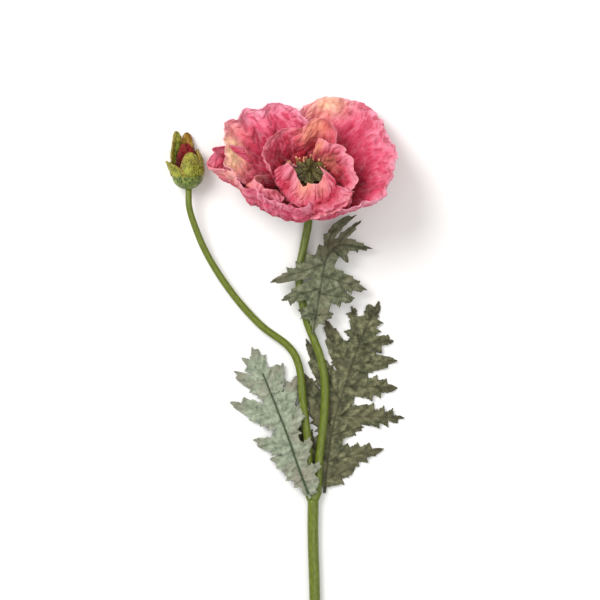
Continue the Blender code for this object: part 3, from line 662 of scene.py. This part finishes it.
def makePetal(name, petal, material):
    # a petal is a bowl-shaped sheet, crumpled and pleated along its length like pressed tissue
    inner = name.startswith("inner")
    columns = petalMake["columns"] * 3 // 5 if inner else petalMake["columns"]
    rows = petalMake["rows"] * 3 // 4 if inner else petalMake["rows"]
    claw = petalMake["claw"]
    u, v = sheetGrid(rows, columns)
    seed = petal["seed"]

    first, last = petal["rim"][0][0], petal["rim"][-1][0]
    middle, half = (first + last) / 2, (last - first) / 2
    degrees = middle + half * u
    rim, _ = smoothRoute(petal["rim"], 240)
    turns = np.maximum.accumulate(rim[:, 0])
    fullReach = float(rim[:, 1].max())
    edge = fieldOf(u * half / 7, u * 0, seed + 40, 3)
    reach = np.interp(degrees, turns, rim[:, 1]) * (1 + (0.02 if inner else 0.03) * edge)
    top = np.interp(degrees, turns, rim[:, 2]) - petal["base"]
    bowl = petal["bowl"]
    if "flare" in petal:
        place, breadth, amount = petal["flare"]
        bowl = bowl - amount * np.exp(-((degrees - place) / breadth) ** 2)
    radius = claw + (reach - claw) * (1 - (1 - v) ** bowl)
    height = petal["base"] + top * v ** petal["rise"]
    turnBack = np.clip((v - petal["curlFrom"]) / (1 - petal["curlFrom"]), 0, 1) ** 2
    radius = radius + petal["curl"] * turnBack
    height = height - max(petal["curl"], 0) * 0.42 * turnBack
    arc = math.radians(half) * fullReach / 10
    flutter = petal["flutter"] * v ** 2.2 * (fieldOf(u * arc, v * 1.2, seed + 50, 2) * 2.4)
    height = height + flutter * 0.8
    radius = radius - flutter * 0.7
    swing = np.radians(degrees + 3.0 * v * fieldOf(u * 2, v * 2, seed + 60, 2))
    grid = np.stack([radius * np.cos(swing), radius * np.sin(swing), height], axis=2)

    # pleats run out to the rim, and flat facets with sharp folds between them cross them
    acrossMm = math.radians(half) * u * fullReach * 0.64   # pleats close up towards the claw
    alongMm = v * (fullReach + 25) * 0.8
    wander = 5.0 * fieldOf(acrossMm / 22, alongMm / 16, seed + 7, 2)
    width = petalMake["wrinkleWidth"]
    pleat = 1 - 3.2 * np.abs(fieldOf((acrossMm + wander) / width, alongMm / (width * 5), seed + 13, 2))
    facetA = fieldOf((acrossMm - alongMm * 0.3) / 7.5, (alongMm + wander) / 14, seed + 19, 1)
    facetB = fieldOf((acrossMm + alongMm * 0.5) / 4.6, (alongMm - wander) / 9, seed + 23, 1)
    facetA, facetB = 0.5 - 2.2 * np.abs(facetA), 0.5 - 2.2 * np.abs(facetB)
    facetC = 0.5 - 2.2 * np.abs(fieldOf(acrossMm / 2.3 + facetA, alongMm / 3.6, seed + 27, 2))
    puckers = fieldOf(acrossMm / 13, alongMm / 13, seed + 29, 2)
    amount = petalMake["wrinkle"] * petal.get("crumple", 1.0) * np.clip(v * 3, 0.1, 1)
    shift = amount * (0.9 * pleat + 1.6 * facetA + 1.2 * facetB + 0.3 * facetC + 3.0 * puckers)
    grid = grid + normalsOf(grid) * shift[:, :, None]

    # crease is high on pleat and facet crests and low in the folds: the cloth paints highlight and shade from
    # it
    crease = np.clip(0.36 + 0.36 * pleat + 0.34 * facetA + 0.32 * facetB + 0.14 * facetC, 0, 1)
    peachAndRimHighlight = np.zeros_like(u)
    for place, breadth, height0, amount in petal["peach"]:
        spot = amount * np.exp(-((degrees - place) / breadth) ** 2) * np.exp(-((v - height0) / 0.17) ** 2)
        peachAndRimHighlight = np.maximum(peachAndRimHighlight, spot)
    # inner petals get a thin pale peach line along the rim: painted rim highlight
    if inner:
        peachAndRimHighlight = np.maximum(peachAndRimHighlight, 0.2 * np.clip((v - 0.97) / 0.03, 0, 1))
    placed = placeGrid(grid, flowerMatrix())
    placed[:, 2] = np.maximum(placed[:, 2], petalMake["rest"] * mm)
    piece = meshPiece(name, placed, gridFaces(rows, columns),
                      values=dict(crease=crease, reach=v * petal.get("paintedShade", 1.0), peach=peachAndRimHighlight),
                      uvs=np.stack([acrossMm + wander * 0.3, alongMm], axis=2).reshape(-1, 2) / 10)
    thicken(piece, petalMake["thickness"])
    slot = "inner_petal_fabric" if inner else "petal_fabric"
    settle(piece, petal["node"], slot, material)


def turnedPiece(name, profile, sides, matrix, ridges=0, ridgeDepth=0.0):
    # profile runs from the axis, round the outside, back to the axis
    spots = []
    rings = profile[1:-1]
    for r, h in rings:
        for i in range(sides):
            turn = 2 * math.pi * i / sides
            wide = r * (1 + ridgeDepth * math.cos(ridges * turn))
            spots.append((wide * math.cos(turn), wide * math.sin(turn), h))
    spots += [(0, 0, profile[0][1]), (0, 0, profile[-1][1])]
    faces = ringFaces(len(rings), sides) + fanFaces(0, sides, len(spots) - 2, -1)
    faces += fanFaces((len(rings) - 1) * sides, sides, len(spots) - 1, 1)
    points = [matrix @ (Vector(spot) * mm) for spot in spots]
    return meshPiece(name, points, faces, values=dict(tip=np.zeros(len(points))))


def roundedProfile(corners, count):
    route, _ = smoothRoute([(r, 0, h) for r, h in corners[1:-1]], count)
    middle = [(max(p[0], 0.05), p[2]) for p in route]
    return [corners[0], *middle, corners[-1]]


seedHead = dict(node="pod", ribs=12, ribDepth=0.025, shift=(0.8, -0.6, 0.0), sides=96, profile=[(0, -0.4),
    (2.2, -0.4), (2.3, 7.5), (5.4, 10.0), (7.8, 13.0), (8.0, 16), (6.6, 18.6), (0.4, 18.7), (0, 18.7)])
petalButton = dict(node="receptacle", sides=48, profile=[(0, -6.0), (2.9, -6.0), (4.3, -3.6), (4.8, -1.6),
    (4.2, -0.9), (0.4, -0.8), (0, -0.8)])
rayedCap = dict(node="stigma_disc", rays=8, radius=12.0, bottom=19.0, thick=1.6, valley=0.66, notch=0.1,
    ridge=1.1, rings=26, sides=216)


def seedHeadMatrix():
    return flowerMatrix() @ Matrix.Translation(Vector(seedHead["shift"]) * mm)


def makeSeedHead(podMaterial, budMaterial):
    piece = turnedPiece("seedHead", roundedProfile(seedHead["profile"], 60), seedHead["sides"],
                        seedHeadMatrix(),
                        ridges=seedHead["ribs"], ridgeDepth=seedHead["ribDepth"])
    settle(piece, seedHead["node"], "pod_plastic", podMaterial)
    piece = turnedPiece("petalButton", roundedProfile(petalButton["profile"], 40), petalButton["sides"],
                        seedHeadMatrix())
    settle(piece, petalButton["node"], "bud_plastic", budMaterial)


def makeRayedCap(material):
    # rounded lobes with deep gaps between them and a raised, velvety ridge along each
    cap = rayedCap
    rays, sides, rings = cap["rays"], cap["sides"], cap["rings"]
    spots, tips = [], []
    for upper in (0, 1):
        for k in range(1, rings + 1):
            share = k / rings
            for i in range(sides):
                turn = 2 * math.pi * i / sides
                wobble = 0.25 * fractal(math.cos(turn) * 1.3, math.sin(turn) * 1.3, 51.0, 2)
                lobe = 0.5 + 0.5 * math.cos(rays * (turn + wobble * 0.4))
                notch = cap["notch"] * abs(math.sin(rays * 1.5 * turn + 0.6)) * lobe
                edge = cap["valley"] + (1 - cap["valley"]) * lobe ** 0.5 - notch + wobble * 0.3
                x, y = (cap["radius"] * edge * share * part for part in (math.cos(turn), math.sin(turn)))
                height = cap["bottom"]
                if upper:
                    ridge = lobe ** 3 * math.sin(math.pi * min(share * 1.02, 1)) ** 0.6
                    height += cap["thick"] * (1 - share ** 4) * (0.35 + 0.5 * lobe) + cap["ridge"] * ridge
                    height += 0.35 * fractal(x * 0.9, y * 0.9, 57.0, 2) + 0.25 - 0.6 * share ** 2
                spots.append((x, y, height))
                tips.append(max((1 - lobe) ** 2, 0.7 * (1 - 3 * share)) if upper else 0.6)
    block = rings * sides
    outer = block - sides
    faces = ringFaces(rings, sides) + [face[::-1] for face in ringFaces(rings, sides, block)]
    for i in range(sides):
        n = (i + 1) % sides
        faces.append((outer + i, outer + n, block + outer + n, block + outer + i))
    for upper in (0, 1):
        faces += fanFaces(upper * block, sides, len(spots), 1 if upper else -1)
        spots.append((0, 0, cap["bottom"] + cap["thick"] * upper))
        tips.append(0.7)
    matrix = seedHeadMatrix()
    points = [matrix @ (Vector(spot) * mm) for spot in spots]
    piece = meshPiece("rayedCap", points, faces, values=dict(tip=tips))
    settle(piece, cap["node"], "pod_plastic", material)


stamenRing = dict(node="stamens", count=66, ringRadius=5.0, spread=12.2, height=18.2, filament=0.28,
    anther=0.95, shift=(-2.8, -0.4, 0.0))


def makeStamens(material):
    # one curved filament with its anther is repeated round the pod, each turned and sized differently
    made = stamenRing
    tree = bpy.data.node_groups.new("stamenRing", "GeometryNodeTree")
    tree.interface.new_socket("Geometry", in_out="OUTPUT", socket_type="NodeSocketGeometry")
    sizes = [("Count", "NodeSocketInt", made["count"]),
             ("Ring Radius", "NodeSocketFloat", made["ringRadius"] * mm),
             ("Filament Radius", "NodeSocketFloat", made["filament"] * mm),
             ("Anther Radius", "NodeSocketFloat", made["anther"] * mm), ("Seed", "NodeSocketInt", 5)]
    sockets = {name: tree.interface.new_socket(name, in_out="INPUT", socket_type=kind)
               for name, kind, _ in sizes}
    given = addNode(tree, "NodeGroupInput").outputs
    low = Vector((0, 0, 6.8)) * mm
    top = Vector((made["spread"] - made["ringRadius"], 0, made["height"])) * mm
    arc = addNode(tree, "GeometryNodeCurveQuadraticBezier", {
        "Resolution": 7, "Start": low, "Middle": low + Vector((7.5, 0, 3.5)) * mm,
        "End": top}).outputs["Curve"]
    section = addNode(tree, "GeometryNodeCurvePrimitiveCircle", {
        "Resolution": 5, "Radius": given["Filament Radius"]}).outputs["Curve"]
    filament = addNode(tree, "GeometryNodeCurveToMesh", {
        "Curve": arc, "Profile Curve": section, "Fill Caps": True}).outputs["Mesh"]
    ball = addNode(tree, "GeometryNodeMeshUVSphere", {"Segments": 8, "Rings": 6,
                                                      "Radius": given["Anther Radius"]}).outputs["Mesh"]
    anther = addNode(tree, "GeometryNodeTransform", {
        "Geometry": ball, "Translation": top, "Rotation": (0, 0.5, 0), "Scale": (0.7, 0.8, 1.35)}).outputs[0]
    stamen = addNode(tree, "GeometryNodeJoinGeometry")
    tree.links.new(filament, stamen.inputs[0])
    tree.links.new(anther, stamen.inputs[0])
    ring = addNode(tree, "GeometryNodeMeshCircle", {"Vertices": given["Count"],
                                                    "Radius": given["Ring Radius"]})
    place = addNode(tree, "GeometryNodeInputPosition").outputs[0]
    aim = addNode(tree, "FunctionNodeAlignEulerToVector", {"Vector": place}, axis="X").outputs[0]
    tilt = addNode(tree, "FunctionNodeRandomValue", {0: (-0.09, -0.30, -0.12), 1: (0.09, 0.10, 0.12),
                                                     "Seed": given["Seed"]},
                   data_type="FLOAT_VECTOR").outputs[0]
    turned = addNode(tree, "FunctionNodeRotateEuler", {"Rotation": aim, "Rotate By": tilt},
                     space="LOCAL").outputs[0]
    size = addNode(tree, "FunctionNodeRandomValue", {2: 0.86, 3: 1.1, "Seed": given["Seed"]}).outputs[1]
    depth = addNode(tree, "ShaderNodeSeparateXYZ", {0: place}).outputs["Y"]
    short = addNode(tree, "ShaderNodeMapRange", {"Value": depth, "From Min": -0.003, "From Max": 0.0025,
                                                 "To Min": 0.72, "To Max": 1.0}).outputs[0]
    size = addNode(tree, "ShaderNodeMath", {0: size, 1: short}, operation="MULTIPLY").outputs[0]
    copies = addNode(tree, "GeometryNodeInstanceOnPoints", {
        "Points": ring.outputs[0], "Instance": stamen.outputs[0], "Rotation": turned,
        "Scale": size}).outputs[0]
    real = addNode(tree, "GeometryNodeRealizeInstances", {"Geometry": copies}).outputs[0]
    coated = addNode(tree, "GeometryNodeSetMaterial", {"Geometry": real, "Material": material}).outputs[0]
    addNode(tree, "NodeGroupOutput", {0: coated})

    seedMesh = bpy.data.meshes.new("stamenSeed")
    holder = bpy.data.objects.new("stamenHolder", seedMesh)
    bpy.context.collection.objects.link(holder)
    modifier = holder.modifiers.new("stamens", "NODES")
    modifier.node_group = tree
    for name, _, value in sizes:
        modifier[sockets[name].identifier] = value
    bpy.context.view_layer.update()
    evaluated = holder.evaluated_get(bpy.context.evaluated_depsgraph_get())
    mesh = bpy.data.meshes.new_from_object(evaluated)
    mesh.transform(flowerMatrix() @ Matrix.Translation(Vector(made["shift"]) * mm))
    mesh.shade_smooth()
    bpy.data.objects.remove(holder)
    piece = bpy.data.objects.new("stamenRing", mesh)
    bpy.context.collection.objects.link(piece)
    settle(piece, made["node"], "stamen_plastic")


def stamenPlastic():
    # soft moulded plastic, dusted: tan and peach, matt
    material, tree = startMaterial("stamenPlastic")
    place = addNode(tree, "ShaderNodeTexCoord").outputs["Object"]
    dust = addNode(tree, "ShaderNodeTexNoise", {"Vector": place, "Scale": 500.0, "Detail": 3.0})
    tan = addNode(tree, "ShaderNodeValToRGB", {"Fac": dust.outputs["Fac"]},
                  stops=[(0.32, "#84482E"), (0.5, "#C07E58"), (0.68, "#E0AC84")]).outputs["Color"]
    bump = addNode(tree, "ShaderNodeBump", {"Height": dust.outputs["Fac"], "Strength": 0.6,
                                            "Distance": 0.0003})
    shader = addNode(tree, "ShaderNodeBsdfPrincipled", {"Base Color": tan, "Roughness": 0.7,
                                                        "Normal": bump.outputs[0]})
    addNode(tree, "ShaderNodeOutputMaterial", {"Surface": shader.outputs[0]})
    return material


# angles are about the bud's axis: 0 to the right, -90 facing up, 90 against the surface

budCup = dict(node="bud_cup", sides=96, ridges=9, ridgeDepth=0.015, profile=[(0, 0), (2.1, 0), (5.4, 1.3),
    (8.8, 4.4), (10.0, 8.6), (9.3, 10.4), (0.4, 9.8), (0, 9.8)])
budSepals = dict(
    frontRight=dict(node="bud_sepal_5", centre=-60, half=54, start=7.5, length=15.4, belly=1.4, tipIn=4.0,
        point=0.6, flare=0.0, knobs=1.0, brown=0.2, seed=2.0),
    frontLeft=dict(node="bud_sepal_4", centre=-136, half=42, start=8.0, length=10.5, belly=0.9, tipIn=-4.0,
        point=1.7, flare=-22.0, knobs=0.6, brown=0.2, seed=5.0),
    backLeft=dict(node="bud_sepal_3", centre=142, half=54, start=9.0, length=28.5, belly=0.9, tipIn=3.0,
        point=0.8, flare=0.0, puff=3.4, knobs=1.3, brown=0.05, seed=9.0),
    back=dict(node="bud_sepal_2", centre=76, half=42, start=9.0, length=27.5, belly=-0.4, tipIn=2.6,
        point=1.0, flare=6.0, puff=1.5, knobs=1.7, brown=0.3, seed=13.0),
    right=dict(node="bud_sepal_1", centre=8, half=38, start=8.0, length=16.8, belly=0.7, tipIn=2.2,
        point=0.55, flare=0.0, knobs=0.8, brown=0.2, seed=17.0))
budPetals = dict(
    left=dict(node="bud_petal_2", centre=-146, radius=6.4, seed=3.0, length=24.0),
    right=dict(node="bud_petal_3", centre=-50, radius=6.6, seed=6.0, length=22.5),
    back=dict(node="bud_petal_1", centre=60, radius=6.8, seed=9.5, length=25.0))


budMake = dict(sepalRadius=9.9, sepalThickness=1.0, petalRoot=9.8, petalSpread=68, petalThickness=0.4,
    rest=0.75)


def makeBud(greenMaterial, tanMaterial, cupMaterial, clothMaterial):
    made = budMake
    matrix = budMatrix()
    cup = turnedPiece("budCup", roundedProfile(budCup["profile"], 56), budCup["sides"], matrix,
                      ridges=budCup["ridges"], ridgeDepth=budCup["ridgeDepth"])
    settle(cup, budCup["node"], "bud_plastic", cupMaterial)

    for name, sepal in budSepals.items():
        rows, columns = 56, 44
        u, v = sheetGrid(rows, columns)
        width = np.clip((1 - v ** 2.6) ** (0.55 * sepal["point"]), 0.04, 1)
        angle = np.radians(sepal["centre"] + sepal["half"] * u * width + sepal["flare"] * v)
        lumps = fieldOf(u * 1.8, v * sepal["length"] / 7, sepal["seed"], 3)
        radius = made["sepalRadius"] - 0.7 * (1 - v) ** 4 - sepal["tipIn"] * v ** 2.2 - 0.5 * u ** 2 * v
        radius += sepal["belly"] * np.sin(math.pi * np.clip(v * 1.1, 0, 1))
        radius -= sepal.get("puff", 0.0) * (1 - u ** 2) * np.sin(math.pi * v ** 0.7)
        radius += sepal["knobs"] * (lumps + 0.5 * np.abs(lumps))
        length = sepal["start"] + sepal["length"] * v
        grid = np.stack([radius * np.cos(angle), radius * np.sin(angle), length], axis=2)
        brown = sepal["brown"] * (0.25 + 0.9 * v ** 2 + 0.6 * lumps)
        brown = np.clip(brown + 0.45 * np.clip((np.abs(u) - 0.72) / 0.28, 0, 1), 0, 1)
        placed = placeGrid(grid, matrix)
        placed[:, 2] = np.maximum(placed[:, 2], made["rest"] * mm)
        piece = meshPiece("sepal_" + name, placed, gridFaces(rows, columns), values=dict(tip=brown))
        thicken(piece, made["sepalThickness"])
        settle(piece, sepal["node"], "bud_plastic", tanMaterial if name == "back" else greenMaterial)

    for name, petal in budPetals.items():
        rows, columns = 60, 80
        u, v = sheetGrid(rows, columns)
        angle = np.radians(petal["centre"] + made["petalSpread"] * u)
        crumple = fieldOf(u * 3.6, v * 4.2, petal["seed"], 3)
        radius = petal["radius"] * (0.55 + 0.5 * np.sin(math.pi * (0.2 + 0.72 * v))) - 2.4 * v ** 2
        radius = radius + 2.6 * crumple * (0.3 + 0.7 * v)
        length = made["petalRoot"] + petal["length"] * v * (1 - 0.14 * u ** 2) * 0.8
        grid = np.stack([radius * np.cos(angle), radius * np.sin(angle), length], axis=2)
        # crease is high on the crumple crests and low between them: the cloth paints highlight and shade from
        # it
        crease = np.clip(0.5 + 0.9 * (0.3 - np.abs(crumple)), 0, 1)
        piece = meshPiece("budPetal_" + name, placeGrid(grid, matrix), gridFaces(rows, columns),
                          values=dict(crease=crease, reach=v * 0.6, peach=v * 0),
                          uvs=np.stack([u * 8, v * 18], axis=2).reshape(-1, 2) / 10)
        thicken(piece, made["petalThickness"])
        settle(piece, petal["node"], "bud_petal_fabric", clothMaterial)


makeCamera()
makeStage()
print("camera, floor and light are set")

stemGreen = stemPlastic("polyethyleneStem", "#525E14", "#5E6B18", "#6E7C22")
ribGreen = stemPlastic("coatedWireRib", "#26341A", "#34472A", "#465A38", rough=0.5)
khakiTop = leafCloth("flockedLeafTop", "#2C2E1E", "#56583E", "#8C8A68", "#35301F", "#34281E", "#706C50")
greyTop = leafCloth("flockedLeafGreyTop", "#3A3E2E", "#62684E", "#8C9074", "#2A2C1C", "#4A3A2E", "#76725A")
sageBack = leafCloth("bareLeafBack", "#5E6756", "#868F7A", "#A9B09A", "#929A86", "#6E5A50", "#8A7E72")
budSkin = budPlastic("nettedBudSkin", "#4A5210", "#6C7418", "#A0A43C", "#9A6C30")
cupSkin = budPlastic("nettedCupSkin", "#34430E", "#4F621C", "#8C9C4E", "#6A5A22")
tanSkin = budPlastic("tintedSepal", "#5A4410", "#86681C", "#B09438", "#7E4414")
podSkin = budPlastic("velvetSeedHead", "#29240E", "#4A431C", "#726C38", "#35230F")
outerCloth = petalCloth("pinkPetalCloth", "#620A16", "#BE2A48", "#E65A7C", "#F8B0C4", "#FFD8AE")
innerCloth = petalCloth("redPetalCloth", "#4A040A", "#A6182C", "#DA4866", "#F09CAE", "#FAAE8C")
budCloth = petalCloth("budPetalCloth", "#3A0202", "#7A0E0E", "#A02420", "#CC6058", "#C88060")
anthers = stamenPlastic()
print("materials are made")

makeStems(stemGreen)
makeCollar(stemGreen)
print("stems are made")

makeLeaf("rightLeaf", khakiTop, sageBack, ribGreen)
makeLeaf("leftLeaf", sageBack, khakiTop, ribGreen)
makeLeaf("upperLeaf", greyTop, sageBack, ribGreen)
print("leaves are made")

for petalName, petalSpec in petals.items():
    makePetal(petalName, petalSpec, innerCloth if petalName.startswith("inner") else outerCloth)
makeSeedHead(podSkin, cupSkin)
makeRayedCap(podSkin)
makeStamens(anthers)
print("open flower is made")

makeBud(budSkin, tanSkin, cupSkin, budCloth)
print("bud is made")
